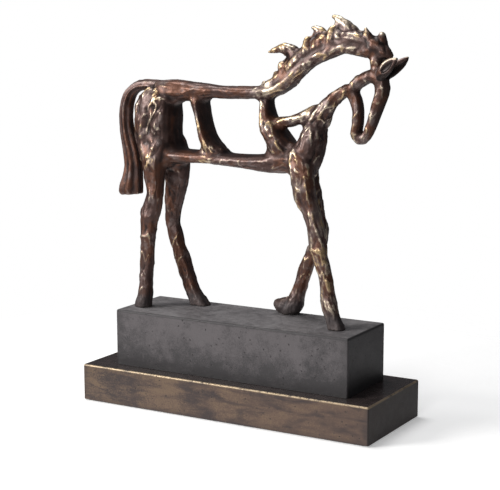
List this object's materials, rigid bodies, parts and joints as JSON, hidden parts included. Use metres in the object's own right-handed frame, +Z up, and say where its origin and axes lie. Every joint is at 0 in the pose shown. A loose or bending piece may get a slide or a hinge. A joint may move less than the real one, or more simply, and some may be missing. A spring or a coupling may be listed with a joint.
{
  "type": "bronze horse statue",
  "caption": "Openwork standing horse cast in dark bronze with a jagged mane, bolted by its hooves to a stepped block and slab plinth.",
  "frame": {"origin": "middle of the underside, on the felt's lower face, which is the middle of the bottom of the bounding box", "axes": "+X the way the horse faces, +Z up from the surface it stands on, +Y towards the horse's left side"},
  "size_m": [0.3556, 0.127, 0.4319],
  "materials": {
    "cast_bronze": "hand modelled casting, dark red-brown patina with the ridges rubbed to dull gold and near-black hollows",
    "slab_bronze": "brown-gold patina with pits and darker clouds, near-black polished top, thin bright arris",
    "block_patina": "matte charcoal patina, cloudy, with small pits",
    "board_wood": "plain fibre board",
    "black_felt": "short napped felt",
    "fixing_steel": "zinc plated"
  },
  "bodies": {
    "root": {"lower_plinth": "slab_bronze", "upper_plinth": "block_patina", "base_board": "board_wood", "base_felt": "black_felt", "plinth_bolts": "fixing_steel", "bolt_washers": "fixing_steel", "board_screws": "fixing_steel", "hoof_studs": "fixing_steel", "stud_washers": "fixing_steel", "stud_nuts": "fixing_steel", "right_hind_leg": "cast_bronze", "left_hind_leg": "cast_bronze", "right_foreleg": "cast_bronze", "left_foreleg": "cast_bronze", "haunch": "cast_bronze", "breast": "cast_bronze", "back_bar": "cast_bronze", "belly_rail": "cast_bronze", "flank_strut": "cast_bronze", "shoulder_strut": "cast_bronze", "collar_bar": "cast_bronze", "throat_bar": "cast_bronze", "neck_crest": "cast_bronze", "mane_locks": "cast_bronze", "poll_post": "cast_bronze", "head_loop": "cast_bronze", "right_ear": "cast_bronze", "left_ear": "cast_bronze", "tail": "cast_bronze"}
  },
  "joints": []
}
